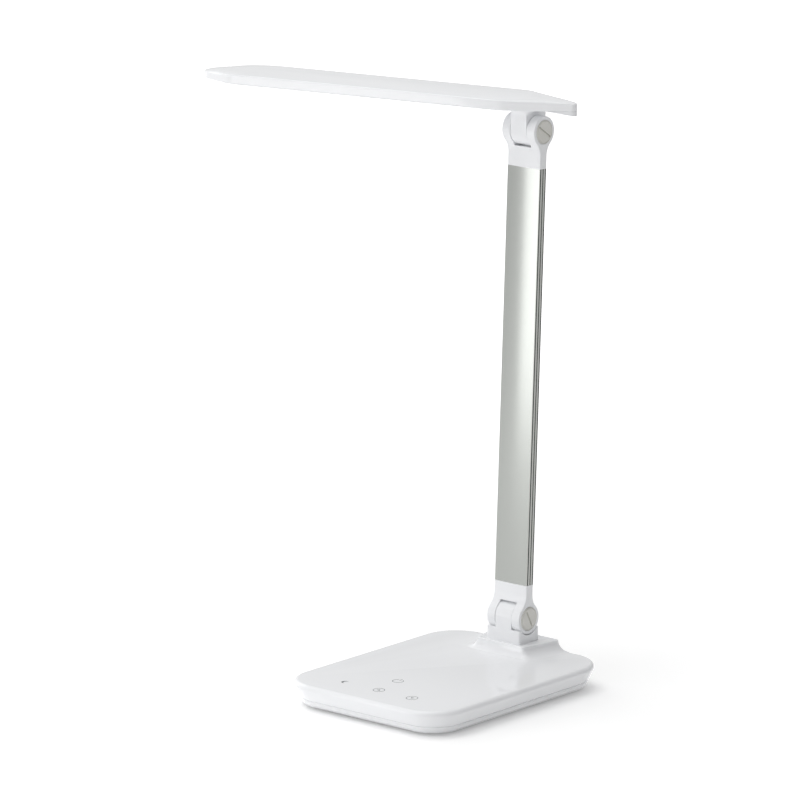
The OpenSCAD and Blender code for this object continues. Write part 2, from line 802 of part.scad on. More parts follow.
module head_bottom_frame() color("white") {
    on_head()
        difference() {
            union() {
                translate([0, 0, under])
                    linear_extrude(frame_t) polygon(head_outline(frame_in));
                heel();
            }
            head_layer(window_w, window_l, under - lap, far);
            cylinder(r = tube_bore_r, h = far);
            at_head_posts() {
                cylinder(r = head_screw_r + 0.1, h = far);
                translate([0, 0, -lap]) cylinder(r = head_screw_head_r + 0.2, h = head_screw_sink + lap);
            }
        }
}

module diffuser() color("whitesmoke") {
    on_head() {
        head_layer(window_w, window_l, under + diffuser_drop, frame_t - diffuser_drop);
        head_layer(window_w + 2 * flange_w, window_l + 2 * flange_w, under + frame_t, flange_t);
    }
}

module light_guide() color("lightcyan") {
    on_head() head_layer(window_w - 2 * guide_gap, window_l, stack_z, guide_t);
}

module reflector_sheet() color("white") {
    on_head() head_layer(window_w - 2 * guide_gap, window_l, stack_z + guide_t, sheet_t);
}

module led_bars() color("gold") {
    on_head()
        for (sx = [-1, 1])
            translate([sx * (window_w / 2 - guide_gap + chip_t + bar_t / 2), window_y, stack_z])
                box(bar_t, window_l - 4, bar_h);
}

// Two rows of light-emitting chips that shine into the long edges of the light guide.
module led_chips() color("lightyellow") {
    on_head()
        for (sx = [-1, 1], i = [0 : chip_count - 1])
            translate([sx * (window_w / 2 - guide_gap + chip_t / 2),
                       window_y + (i - (chip_count - 1) / 2) * chip_pitch,
                       stack_z + (guide_t - chip_h) / 2])
                box(chip_t, chip_w, chip_h);
}

module back_plate() color("silver") {
    on_head()
        head_layer(window_w + 2 * guide_gap, window_l, stack_z + guide_t + sheet_t, plate_head_t);
}

module head_screws() color("silver") {
    on_head() at_head_posts() translate([0, 0, head_screw_sink])
        screw(head_screw_r, head_screw_l, head_screw_head_r, 0.8);
}

// ---------------------------------------------------------------- nodes

base_top_shell();
base_bottom_tray();
foot_ring();
ballast_plate();
ballast_screws();
base_screws();
control_board();
board_screws();
touch_springs();
dc_jack();
hinge_plate();
block_screws();
hinge_block();
arm_profile();
arm_lead();
clevis_screws();
lower_clevis();
lower_pin();
lower_pin_nut();
lower_spring_washers();
lower_friction_washers();
lower_covers();
upper_clevis();
upper_pin();
upper_pin_nut();
upper_spring_washers();
upper_friction_washers();
upper_covers();
head_knuckle();
swivel_tube();
swivel_washer();
swivel_nut();
head_top_shell();
head_bottom_frame();
diffuser();
light_guide();
reflector_sheet();
led_bars();
led_chips();
back_plate();
head_screws();
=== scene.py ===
import json
import math
import bmesh
import bpy
from mathutils import Matrix, Vector

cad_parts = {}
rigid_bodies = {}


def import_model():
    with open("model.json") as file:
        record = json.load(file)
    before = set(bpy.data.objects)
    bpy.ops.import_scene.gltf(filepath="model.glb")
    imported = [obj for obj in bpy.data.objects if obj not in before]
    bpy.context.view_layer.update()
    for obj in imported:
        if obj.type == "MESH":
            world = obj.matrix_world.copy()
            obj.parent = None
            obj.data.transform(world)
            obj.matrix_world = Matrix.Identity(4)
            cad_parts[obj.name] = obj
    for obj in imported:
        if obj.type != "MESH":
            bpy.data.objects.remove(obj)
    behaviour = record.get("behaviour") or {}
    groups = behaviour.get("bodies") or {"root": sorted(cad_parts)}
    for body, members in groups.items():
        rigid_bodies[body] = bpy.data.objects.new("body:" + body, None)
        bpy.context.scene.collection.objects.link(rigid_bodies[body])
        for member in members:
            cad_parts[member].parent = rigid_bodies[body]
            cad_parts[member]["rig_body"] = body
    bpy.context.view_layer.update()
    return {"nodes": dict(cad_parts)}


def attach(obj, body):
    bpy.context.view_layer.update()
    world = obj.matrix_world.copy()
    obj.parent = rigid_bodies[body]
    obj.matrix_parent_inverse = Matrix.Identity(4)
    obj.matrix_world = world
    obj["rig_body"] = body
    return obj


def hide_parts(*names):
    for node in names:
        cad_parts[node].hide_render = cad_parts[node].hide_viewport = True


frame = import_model()
mm = 0.001
past = 30.0  # how far a cutter reaches beyond the piece, in millimetres
overlap = 1.0  # how far a drill starts before the face that it opens, in millimetres
fine = 96  # facets round a hinge


def fromHex(code):  # sRGB hex to linear
    parts = [int(code[i:i + 2], 16) / 255 for i in (1, 3, 5)]
    return tuple(c / 12.92 if c <= 0.04045 else ((c + 0.055) / 1.055) ** 2.4 for c in parts) + (1.0,)


def addNode(tree, kind, sockets=None, **settings):
    node = tree.nodes.new(kind)
    for name, value in settings.items():
        setattr(node, name, value)
    for name, value in (sockets or {}).items():
        if isinstance(value, bpy.types.NodeSocket):
            tree.links.new(value, node.inputs[name])
        else:
            node.inputs[name].default_value = value
    return node


def startMaterial(name):
    material = bpy.data.materials.new(name)
    material.use_nodes = True
    tree = material.node_tree
    shader = tree.nodes["Principled BSDF"]
    place = addNode(tree, "ShaderNodeTexCoord").outputs["Object"]
    return material, tree, shader, place


def mouldedPlastic(name, colour, roughness, grainMm, grainDepth, waveMm=0, waveDepth=0, ior=1.53,
                   cloudMm=60, cloudTint=0.015):
    # injection-moulded plastic: an even colour with broad faint clouds, the grain of the steel tool, and on
    # thick walls a faint sink wave that bends reflections; the grain is drawn coarser than real, so it shows
    material, tree, shader, place = startMaterial(name)
    shader.inputs["IOR"].default_value = ior
    clouds = addNode(tree, "ShaderNodeTexNoise", {"Vector": place, "Scale": 1000 / cloudMm, "Detail": 2.0})
    tint = addNode(tree, "ShaderNodeMapRange", {"Value": clouds.outputs["Fac"], "From Min": 0.3,
                                                "From Max": 0.7, "To Min": 0.0, "To Max": 1.0})
    base = fromHex(colour)
    mix = addNode(tree, "ShaderNodeMix", {"Factor": tint.outputs["Result"]}, data_type="RGBA")
    mix.inputs[6].default_value = tuple(c * (1 - cloudTint) for c in base[:3]) + (1.0,)  # first colour
    mix.inputs[7].default_value = base  # second colour
    tree.links.new(mix.outputs[2], shader.inputs["Base Color"])
    grain = addNode(tree, "ShaderNodeTexNoise", {"Vector": place, "Scale": 1000 / grainMm, "Detail": 3.0})
    rough = addNode(tree, "ShaderNodeMapRange", {"Value": grain.outputs["Fac"], "From Min": 0.3,
                                                 "From Max": 0.7, "To Min": roughness * 0.9,
                                                 "To Max": roughness * 1.1})
    tree.links.new(rough.outputs["Result"], shader.inputs["Roughness"])
    bump = addNode(tree, "ShaderNodeBump", {"Height": grain.outputs["Fac"], "Strength": 1.0,
                                            "Distance": grainDepth * mm})
    if waveMm:
        wave = addNode(tree, "ShaderNodeTexNoise", {"Vector": place, "Scale": 1000 / waveMm, "Detail": 1.0})
        broad = addNode(tree, "ShaderNodeBump", {"Height": wave.outputs["Fac"], "Strength": 1.0,
                                                 "Distance": waveDepth * mm})
        tree.links.new(broad.outputs["Normal"], bump.inputs["Normal"])
    tree.links.new(bump.outputs["Normal"], shader.inputs["Normal"])
    return material


def drawnMetal(name, colour, roughness, lineMm, lineDepth, along=(1, 1, 1), tintSpread=0.06):
    # metal with fine lines along the way it was drawn, rolled or turned, which stretch its reflections;
    # the lines are drawn coarser than real, so they show
    material, tree, shader, place = startMaterial(name)
    shader.inputs["Metallic"].default_value = 1.0
    stretch = addNode(tree, "ShaderNodeMapping", {"Vector": place, "Scale": along})
    lines = addNode(tree, "ShaderNodeTexNoise", {"Vector": stretch.outputs["Vector"],
                                                 "Scale": 1000 / lineMm, "Detail": 4.0})
    base = fromHex(colour)
    mix = addNode(tree, "ShaderNodeMix", {"Factor": lines.outputs["Fac"]}, data_type="RGBA")
    mix.inputs[6].default_value = tuple(c * (1 - tintSpread) for c in base[:3]) + (1.0,)  # first colour
    mix.inputs[7].default_value = tuple(min(1.0, c * (1 + tintSpread)) for c in base[:3]) + (1.0,)
    tree.links.new(mix.outputs[2], shader.inputs["Base Color"])
    rough = addNode(tree, "ShaderNodeMapRange", {"Value": lines.outputs["Fac"], "From Min": 0.25,
                                                 "From Max": 0.75, "To Min": roughness * 0.85,
                                                 "To Max": roughness * 1.15})
    tree.links.new(rough.outputs["Result"], shader.inputs["Roughness"])
    bump = addNode(tree, "ShaderNodeBump", {"Height": lines.outputs["Fac"], "Strength": 1.0,
                                            "Distance": lineDepth * mm})
    tree.links.new(bump.outputs["Normal"], shader.inputs["Normal"])
    return material


finish = {
    # ABS from a polished tool: mirror-like, with soft bends in what it reflects
    "white_abs_gloss": mouldedPlastic("glossWhiteAbs", "#F3F4F6", 0.05, 0.5, 0.0002, 14, 0.003),
    # ABS from a fine-grained tool: an even, soft sheen
    "white_abs_satin": mouldedPlastic("satinWhiteAbs", "#F1F2F4", 0.34, 0.35, 0.002),
    "warm_grey_plastic": mouldedPlastic("warmGreyAbs", "#DAD9D3", 0.42, 0.3, 0.003),
    # extruded, then anodised: a long soft highlight, drawn out along the arm
    "anodised_aluminium": drawnMetal("anodisedAluminium", "#999B98", 0.20, 0.25, 0.0004,
                                     (1, 1, 0.004), 0.025),
    # mill-finish sheet, zinc-plated, rolled and spring steel, and brass: duller or brighter metal
    "back_aluminium": drawnMetal("milledAluminiumSheet", "#C4C6C8", 0.35, 0.6, 0.001, (1, 0.05, 1)),
    "raw_steel": drawnMetal("rolledSteel", "#8F9193", 0.45, 0.8, 0.002, (1, 0.1, 1)),
    "zinc_steel": drawnMetal("zincPlatedSteel", "#BFC2C4", 0.28, 0.5, 0.001),
    "spring_steel": drawnMetal("springSteel", "#9A9C9E", 0.3, 0.4, 0.001),
    "spring_brass": drawnMetal("springBrass", "#C9A85C", 0.3, 0.4, 0.001),
    # rubber, nylon, board lacquer, PBT and PVC: matt to half-matt
    "soft_rubber": mouldedPlastic("greyFootRubber", "#77797B", 0.75, 0.6, 0.01, ior=1.5),
    "friction_nylon": mouldedPlastic("frictionNylon", "#EEEFF0", 0.4, 0.4, 0.002),
    "circuit_board": mouldedPlastic("solderMaskGreen", "#2E6B47", 0.35, 0.5, 0.003),
    "black_plastic": mouldedPlastic("blackPbt", "#232527", 0.45, 0.3, 0.003),
    "white_cable": mouldedPlastic("whitePvc", "#E9E9E7", 0.45, 0.4, 0.002),
    # the parts that make and spread the light
    "opal_diffuser": mouldedPlastic("opalPmma", "#F4F4F1", 0.28, 0.4, 0.001),
    "clear_acrylic": mouldedPlastic("clearPmma", "#E8EEF0", 0.08, 0.4, 0.0005, ior=1.49),
    "white_film": mouldedPlastic("whitePetFilm", "#F7F7F7", 0.5, 0.3, 0.001),
    "led_phosphor": mouldedPlastic("ledPhosphor", "#E9D98A", 0.4, 0.3, 0.002),
    # pad-printed ink: flat grey
    "sign_ink": mouldedPlastic("printedGreyInk", "#5E6266", 0.5, 0.4, 0.0005),
}
print("materials ready")


def bodyOf(node):
    return frame["nodes"][node]["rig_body"]


def settle(mesh, name, body, slot, node=None, smoothDegrees=32, material=None):
    # a mesh in metres made a piece that rides on its body and stands for its CAD node
    mesh.name = name
    piece = bpy.data.objects.new(name, mesh)
    bpy.context.scene.collection.objects.link(piece)
    mesh.materials.clear()
    mesh.materials.append(finish[material or slot])
    mesh.shade_smooth()
    mesh.set_sharp_from_angle(angle=math.radians(smoothDegrees))
    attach(piece, body)
    if node:
        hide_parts(node)
    return piece


def addBevel(piece, widthMm, segments, degrees=35):
    bevel = piece.modifiers.new("edge", "BEVEL")
    bevel.width = widthMm * mm
    bevel.segments = segments
    bevel.limit_method = "ANGLE"
    bevel.angle_limit = math.radians(degrees)
    bevel.harden_normals = True


def dressed(node, name, slot, edgeMm=0.0, segments=2, mergeMm=0.002, flatDegrees=0.4):
    # a merged copy of the CAD node, with its moulded edges broken
    bm = bmesh.new()
    bm.from_mesh(frame["nodes"][node].data)
    bmesh.ops.remove_doubles(bm, verts=bm.verts, dist=mergeMm * mm)
    bmesh.ops.dissolve_limit(bm, angle_limit=math.radians(flatDegrees), verts=bm.verts, edges=bm.edges,
                             use_dissolve_boundaries=False)
    mesh = bpy.data.meshes.new(name)
    bm.to_mesh(mesh)
    bm.free()
    piece = settle(mesh, name, bodyOf(node), slot, node)
    if edgeMm:
        addBevel(piece, edgeMm, segments)


def loft(bm, rings, whole=False):
    # a closed skin over rings of equally many points, first to last; a whole one comes back to its first
    # ring. The quads are made one by one, because bridging mixes up rings that lie in one plane
    loops = [[bm.verts.new(p) for p in points] for points in rings]
    pairs = list(zip(loops, loops[1:]))
    if whole:
        pairs.append((loops[-1], loops[0]))
    else:
        bm.faces.new(list(reversed(loops[0])))
        bm.faces.new(loops[-1])
    for lower, upper in pairs:
        for i in range(len(lower)):
            bm.faces.new((lower[i - 1], lower[i], upper[i], upper[i - 1]))


def prism(bm, plan, low, high):
    # a flat outline drawn up from one height to another
    face = bm.faces.new([bm.verts.new((x, y, low)) for x, y in plan])
    drawn = bmesh.ops.extrude_face_region(bm, geom=[face])["geom"]
    raised = [v for v in drawn if isinstance(v, bmesh.types.BMVert)]
    bmesh.ops.translate(bm, vec=(0, 0, high - low), verts=raised)


def turned(bm, profile, axis="X", at=(0, 0, 0), steps=fine):
    # points [along, radius] spun about an axis through the given place, closed at both ends
    along, out = {"X": (Vector((1, 0, 0)), Vector((0, 1, 0))),
                  "Y": (Vector((0, 1, 0)), Vector((1, 0, 0))),
                  "Z": (Vector((0, 0, 1)), Vector((1, 0, 0)))}[axis]
    points = [(profile[0][0], 0), *profile, (profile[-1][0], 0)]
    verts = [bm.verts.new(Vector(at) + along * a + out * r) for a, r in points]
    edges = [bm.edges.new(pair) for pair in zip(verts, verts[1:])]
    bmesh.ops.spin(bm, geom=verts + edges, axis=along, cent=at, angle=math.tau, steps=steps,
                   use_merge=True)
    bmesh.ops.remove_doubles(bm, verts=bm.verts, dist=0.001)  # closes the two poles


def peg(bm, low, high, r, axis="Z", at=(0, 0, 0), steps=48):
    # a plain cylinder, for posts and for drilled holes
    turned(bm, [(low, r), (high, r)], axis, at, steps)


def block(bm, x, y, z):
    # a box from the lowest to the highest value along each axis
    middle = Matrix.Translation([(low + high) / 2 for low, high in (x, y, z)])
    size = Matrix.Diagonal([high - low for low, high in (x, y, z)] + [1])
    bmesh.ops.create_cube(bm, size=1, matrix=middle @ size)


def combined(solid, other, operation="DIFFERENCE"):
    # the solid less or with the other one, both given as bmeshes in millimetres
    pieces = []
    for bm in (solid, other):
        bmesh.ops.recalc_face_normals(bm, faces=bm.faces)
        mesh = bpy.data.meshes.new("carving")
        bm.to_mesh(mesh)
        bm.free()
        pieces.append(bpy.data.objects.new("carving", mesh))
        bpy.context.scene.collection.objects.link(pieces[-1])
    cut = pieces[0].modifiers.new("cut", "BOOLEAN")
    cut.operation = operation
    cut.solver = "MANIFOLD"
    cut.object = pieces[1]
    shown = pieces[0].evaluated_get(bpy.context.evaluated_depsgraph_get())
    result = bmesh.new()
    result.from_mesh(shown.to_mesh())
    shown.to_mesh_clear()
    for piece in pieces:
        bpy.data.meshes.remove(piece.data)
    return result


def meshFrom(bm, place=None):
    # a bmesh in millimetres made a mesh in metres, moved to its place
    bmesh.ops.scale(bm, vec=(mm, mm, mm), verts=bm.verts)
    if place is not None:
        bmesh.ops.transform(bm, matrix=place, verts=bm.verts)
    bmesh.ops.recalc_face_normals(bm, faces=bm.faces)
    mesh = bpy.data.meshes.new("made")
    bm.to_mesh(mesh)
    bm.free()
    return mesh


def roundedCorners(corners, radii, steps):
    # plan of a convex outline, anticlockwise, with each corner rounded
    points = []
    for i, corner in enumerate(corners):
        here = Vector(corner)
        before = (Vector(corners[i - 1]) - here).normalized()
        after = (Vector(corners[(i + 1) % len(corners)]) - here).normalized()
        half = before.angle(after) / 2
        reach = radii[i] / math.tan(half)
        centre = here + (before + after).normalized() * (radii[i] / math.sin(half))
        start = here + before * reach - centre
        turn = math.pi - 2 * half
        for k in range(steps + 1):
            a = turn * k / steps
            points.append((centre.x + start.x * math.cos(a) - start.y * math.sin(a),
                           centre.y + start.x * math.sin(a) + start.y * math.cos(a)))
    return points


def quarter(steps):
    # [sine, 1 - cosine] along a quarter turn, for rounded edges and hollow flanks
    return [(math.sin(math.radians(90 * k / steps)), 1 - math.cos(math.radians(90 * k / steps)))
            for k in range(steps + 1)]


# the two hinges: y and z of the lower one, the pitch along the arm, which leans back in degrees; the head is
# turned about the upper one, and its underside lies above it. All sizes are in millimetres
hinge = {"y": 71.3, "z": 41.0, "pitch": 333.0, "lean": 2.4, "turn": 77.5, "under": 15.4}
# the shell's wall leans in towards the foot, and a small step above the seam parts it from the tray
base = {"w": 140.0, "l": 180.0, "r": 27.0, "top": 18.0, "edge": 3.0, "leanIn": 5.2, "leanFoot": 3.6,
        "seam": 6.5, "seamIn": 0.4, "seamHigh": 0.5, "wall": 2.2, "innerDrop": 1.0, "innerIn": 2.0,
        "cornerSteps": 14, "wallSteps": 4, "edgeSteps": 8}
# under the roof: posts for the base's screws and the board's, and the wall round the power socket's mouth
posts = {"x": 52.0, "y": 68.0, "r": 4.2, "screwR": 1.5, "screwDeep": 8.0, "rise": 0.5,
         "boardX": 35.0, "boardY": (-74.0, -38.0), "boardR": 2.4, "boardFoot": 14.0, "boardScrewR": 1.0,
         "boardScrewDeep": 1.9}
socket = {"half": 7.0, "back": 84.3, "front": 86.9, "foot": 6.7, "z": 11.2, "mouthR": 4.4}
# a rim with hollow flanks that spread to the base, low steps round the block, and room for the hinge plate
pedestal = {"top": 25.2, "frontHalf": 20.3, "backHalf": 27.6, "spreadSide": 9.6, "spreadFront": 4.5,
            "front": 57.5, "back": 88.6, "corner": 2.4, "leastCorner": 0.4, "spreadCorner": 8.0,
            "edge": 0.5, "sink": 0.4, "steps": 3, "stepWidth": 0.95, "stepDepth": 0.22, "stepSlope": 0.12,
            "rim": 0.2, "flankSteps": 16, "edgeSteps": 4, "cornerSteps": 10,
            "roomX": 17.5, "roomY": 12.5, "roomFoot": 14.0, "roof": 22.0, "screwX": 10.0, "screwY": 6.0,
            "screwR": 1.7, "wireY": 5.2, "wireR": 1.4}


def baseRing(inset, z):
    w, l, r = base["w"] / 2 - inset, base["l"] / 2 - inset, base["r"] - inset
    plan = roundedCorners([(-w, -l), (w, -l), (w, l), (-w, l)], [r] * 4, base["cornerSteps"])
    return [(x, y, z) for x, y in plan]


def leanAt(z):
    widest = base["top"] - base["edge"]
    return base["leanIn"] * (widest - z) / (widest - base["leanFoot"])


def buildBaseShell():
    # from inside the roof, down the inner wall, round the seam and up to the crowned edge
    b = base
    widest, lip = b["top"] - b["edge"], b["seam"] + b["seamHigh"]
    rings = [baseRing(b["wall"] + b["innerIn"], b["top"] - b["wall"]),
             baseRing(b["wall"] + leanAt(widest - b["innerDrop"]), widest - b["innerDrop"]),
             baseRing(b["wall"] + leanAt(b["seam"]), b["seam"]),
             baseRing(leanAt(b["seam"]) + b["seamIn"], b["seam"]), baseRing(leanAt(lip), lip)]
    for k in range(1, b["wallSteps"] + 1):
        z = lip + (widest - lip) * k / b["wallSteps"]
        rings.append(baseRing(leanAt(z), z))
    for rise, into in quarter(b["edgeSteps"])[1:]:
        rings.append(baseRing(b["edge"] * into, widest + b["edge"] * rise))
    bm = bmesh.new()
    loft(bm, rings)
    return bm


def addPosts(solid):
    # posts for the screws of the base and the board, and the wall in front of the power socket
    p = posts
    added, holes = bmesh.new(), bmesh.new()
    seam, under = base["seam"], base["top"] - base["wall"] + p["rise"]
    for sx in (-1, 1):
        for sy in (-1, 1):
            at = (sx * p["x"], sy * p["y"], 0)
            peg(added, seam, under, p["r"], at=at)
            peg(holes, seam - overlap, seam + p["screwDeep"], p["screwR"], at=at)
        for y in p["boardY"]:
            at, foot = (sx * p["boardX"], y, 0), p["boardFoot"]
            peg(added, foot, under, p["boardR"], at=at)
            peg(holes, foot - overlap, foot + p["boardScrewDeep"], p["boardScrewR"], at=at)
    k = socket
    block(added, (-k["half"], k["half"]), (k["back"], k["front"]), (k["foot"], under))
    peg(holes, k["back"] - overlap, k["back"] + past, k["mouthR"], "Y", (0, 0, k["z"]))
    return combined(combined(solid, added, "UNION"), holes)


def openPedestal(solid):
    # room for the hinge plate, and the holes through its roof
    p = pedestal
    room, holes = bmesh.new(), bmesh.new()
    block(room, (-p["roomX"], p["roomX"]), (hinge["y"] - p["roomY"], hinge["y"] + p["roomY"]),
          (p["roomFoot"], p["roof"]))
    low, high = p["roof"] - overlap, p["top"] + past
    for sx in (-1, 1):
        for sy in (-1, 1):
            peg(holes, low, high, p["screwR"], at=(sx * p["screwX"], hinge["y"] + sy * p["screwY"], 0))
    peg(holes, low, high, p["wireR"], at=(0, hinge["y"] + p["wireY"], 0))
    return combined(combined(solid, room), holes)


def pedestalRing(spread, z, inset=0.0):
    # the pedestal's plan, from 0 at its rim to 1 where its hollow flanks meet the base
    p = pedestal
    side, front = p["spreadSide"] * spread - inset, p["spreadFront"] * spread - inset
    corners = [(-p["frontHalf"] - side, p["front"] - front), (p["frontHalf"] + side, p["front"] - front),
               (p["backHalf"] + side, p["back"] - inset), (-p["backHalf"] - side, p["back"] - inset)]
    r = max(p["leastCorner"], p["corner"] - inset)
    frontR = r + p["spreadCorner"] * spread
    return [(x, y, z) for x, y in roundedCorners(corners, [frontR, frontR, r, r], p["cornerSteps"])]


def buildPedestal():
    p = pedestal
    rings = [pedestalRing(1.0, base["top"] - p["sink"])]
    high = p["top"] - p["edge"]
    for rise, spread in reversed(quarter(p["flankSteps"])):
        rings.append(pedestalRing(spread, high - (high - base["top"]) * rise))
    for rise, into in quarter(p["edgeSteps"])[1:]:
        rings.append(pedestalRing(0.0, high + p["edge"] * rise, p["edge"] * into))
    for k in range(1, p["steps"] + 1):  # shallow steps down to the block's seat
        inset = p["edge"] + p["rim"] + p["stepWidth"] * k
        rings.append(pedestalRing(0.0, p["top"] - p["stepDepth"] * (k - 1), inset - p["stepSlope"]))
        rings.append(pedestalRing(0.0, p["top"] - p["stepDepth"] * k, inset))
    bm = bmesh.new()
    loft(bm, rings)
    return bm


shell = combined(buildBaseShell(), buildPedestal(), "UNION")
shell = openPedestal(addPosts(shell))
settle(meshFrom(shell), "base_shell", "base", "white_abs_gloss", "base_top_shell", 40)


# places of the printed signs on the base's top, and their sizes
signs = {"moon": (-31.3, -65.9), "power": (-6.1, -41.1), "up": (-1.5, -65.9), "down": (27.6, -66.3),
         "line": 0.42, "thick": 0.05, "sink": 0.01, "circleR": 3.9, "arrow": 1.5, "arrowFoot": 0.9,
         "arrowTip": 1.35, "powerR": 3.7, "powerArc": (120, 420), "barHalf": 0.25, "barFrom": 1.6,
         "barTo": 4.6, "moonR": 2.5, "moonShift": 0.5, "moonOuter": range(60, 301, 10),
         "moonInner": range(260, 99, -10), "arcSteps": 48}


def inkHeights():
    return base["top"] - signs["sink"], base["top"] + signs["thick"]


def strokeArc(bm, centre, radius, start, end):
    # a printed line along an arc, in degrees; a whole turn closes on itself
    half, (low, high) = signs["line"] / 2, inkHeights()
    whole, steps = end - start >= 360, signs["arcSteps"]
    sections = []
    for k in range(steps if whole else steps + 1):
        a = math.radians(start + (end - start) * k / steps)
        c, s = math.cos(a), math.sin(a)
        sections.append([(centre[0] + (radius + d) * c, centre[1] + (radius + d) * s, z)
                         for d, z in ((-half, low), (half, low), (half, high), (-half, high))])
    loft(bm, sections, whole)


def arcPoints(x, y, r, degrees):
    return [(x + r * math.cos(math.radians(a)), y + r * math.sin(math.radians(a))) for a in degrees]


def buildSigns():
    bm = bmesh.new()
    g = signs
    low, high = inkHeights()
    for name, way in (("up", 1), ("down", -1)):
        x, y = g[name]
        strokeArc(bm, (x, y), g["circleR"], 0, 360)
        prism(bm, [(x - g["arrow"], y - way * g["arrowFoot"]), (x + g["arrow"], y - way * g["arrowFoot"]),
                   (x, y + way * g["arrowTip"])], low, high)
    strokeArc(bm, g["power"], g["powerR"], *g["powerArc"])
    x, y = g["power"]
    block(bm, (x - g["barHalf"], x + g["barHalf"]), (y + g["barFrom"], y + g["barTo"]), (low, high))
    x, y = g["moon"]
    biteR = math.sqrt(1 - g["moonShift"] ** 2) * g["moonR"]
    outer = arcPoints(x, y, g["moonR"], g["moonOuter"])
    inner = arcPoints(x + g["moonR"] * g["moonShift"], y, biteR, g["moonInner"])
    prism(bm, outer + inner, low, high)
    return bm


settle(meshFrom(buildSigns()), "touch_signs", "base", "black_plastic", material="sign_ink")
dressed("base_bottom_tray", "base_tray", "white_abs_gloss", 0.3)
dressed("foot_ring", "foot_rubber", "soft_rubber", 0.2)
dressed("dc_jack", "power_socket", "black_plastic", 0.1)
dressed("hinge_block", "hinge_tower", "white_abs_satin", 0.35, 3)
print("base done")


def upperHinge():
    lean = math.radians(hinge["lean"])
    return Vector((0, hinge["y"] + hinge["pitch"] * math.sin(lean),
                   hinge["z"] + hinge["pitch"] * math.cos(lean))) * mm


def hingePlace(end):
    # Z runs along the arm from the named hinge
    low = Matrix.Translation(Vector((0, hinge["y"], hinge["z"])) * mm)
    low = low @ Matrix.Rotation(-math.radians(hinge["lean"]), 4, "X")
    if end == "lower":
        return low
    return low @ Matrix.Translation((0, 0, hinge["pitch"] * mm)) @ Matrix.Scale(-1, 4, (0, 0, 1))


# the extrusion: insets are how far its ends stay from the hinges, and screwS lies along it from each hinge
arm = {"w": 28.0, "t": 6.8, "crown": 0.7, "crownSteps": 24, "insets": {"lower": 23.2, "upper": 25.0},
       "core": 11.0, "coreT": 1.9, "edge": 0.25, "grooves": (-2.5, 0.0, 2.5), "grooveHalf": 0.45,
       "grooveDepth": 1.8, "screwS": 33.0, "screwX": 6.5, "screwR": 1.2, "screwHeadR": 2.2,
       "screwSeat": 2.7, "screwSteps": 32}
# ears with a slot for the knuckle, seats for pin and caps, flares to the web, and a tongue inside the arm
bracket = {"earR": 10.6, "flare": 12.0, "edge": 0.4, "slotHalf": 7.3, "slotEnd": 11.0, "bore": 3.02,
           "boreFrom": 6.0, "wellR": 5.9, "wellX": 9.1, "seatR": 8.3, "seatX": 12.4, "tongueW": 10.5,
           "tongueT": 1.85, "tongueSink": 2.0, "tongueL": 17.0, "ductW": 2.5, "ductT": 0.65,
           "earSteps": 64, "flareSteps": 12, "acrossSteps": 8, "edgeSteps": 3}
# covers of the hinge pins: slots are [lean in degrees, length]
caps = {"r": 8.05, "edge": 0.35, "edgeSteps": 4, "in": 12.42, "out": 14.5, "slotHalf": 0.65,
        "slotDepth": 1.5, "ringIn": 7.25, "ringOut": 7.6, "ringDepth": 0.5, "ringSlope": 0.05,
        "slots": {"lower": (30, 12.4), "upper": (-57, 14.6)}}
# white discs between knuckle and ears, and the knuckle: drum, neck and flare, bored for pin, tube and wire
discs = {"in": 6.86, "out": 7.29, "inSlope": 0.07, "outSlope": 0.04, "r": 10.0, "edge": 0.1, "bore": 3.02}
knuckle = {"half": 6.8, "r": 10.25, "edge": 0.3, "flareZ": 10.9, "top": 15.1, "rim": 0.5, "trumpetR": 13.4,
           "edgeSteps": 3, "neckSteps": 4, "flareSteps": 12, "cornerSteps": 10, "cornerGap": 0.05,
           "bore": 3.05, "tubeR": 4.0, "tubeFoot": 6.0, "wireR": 1.4, "wireY": 5.2, "wireSteps": 24,
           "channelHalf": 1.372, "channelFrom": 1.0, "channelSink": 0.3}


def armSection():
    # narrow sides with three grooves each, wide faces with a gentle crown
    a = arm
    half, depth = a["w"] / 2, a["w"] / 2 - a["grooveDepth"]
    side = [(half - a["edge"], -a["t"] / 2), (half, a["edge"] - a["t"] / 2)]
    for t in a["grooves"]:
        low, high = t - a["grooveHalf"], t + a["grooveHalf"]
        side += [(half, low), (depth, low), (depth, high), (half, high)]
    side += [(half, a["t"] / 2 - a["edge"]), (half - a["edge"], a["t"] / 2)]
    crown = []
    for k in range(1, a["crownSteps"]):
        x = (half - a["edge"]) * (1 - 2 * k / a["crownSteps"])
        crown.append((x, a["t"] / 2 + a["crown"] * (1 - (x / half) ** 2)))
    return side + crown + [(-x, -t) for x, t in side] + [(-x, -t) for x, t in crown]


def buildArm():
    a = arm
    low, high = a["insets"]["lower"], hinge["pitch"] - a["insets"]["upper"]
    solid, core, holes = bmesh.new(), bmesh.new(), bmesh.new()
    prism(solid, armSection(), low, high)
    block(core, (-a["core"], a["core"]), (-a["coreT"], a["coreT"]), (low - past, high + past))
    recess = [(a["coreT"] - overlap, a["screwR"]), (a["screwSeat"], a["screwR"]),
              (a["screwSeat"], a["screwHeadR"]), (past, a["screwHeadR"])]
    for sx in (-1, 1):
        for s in (a["screwS"], hinge["pitch"] - a["screwS"]):
            turned(holes, recess, "Y", (sx * a["screwX"], 0, s), a["screwSteps"])
    return combined(combined(solid, core), holes)


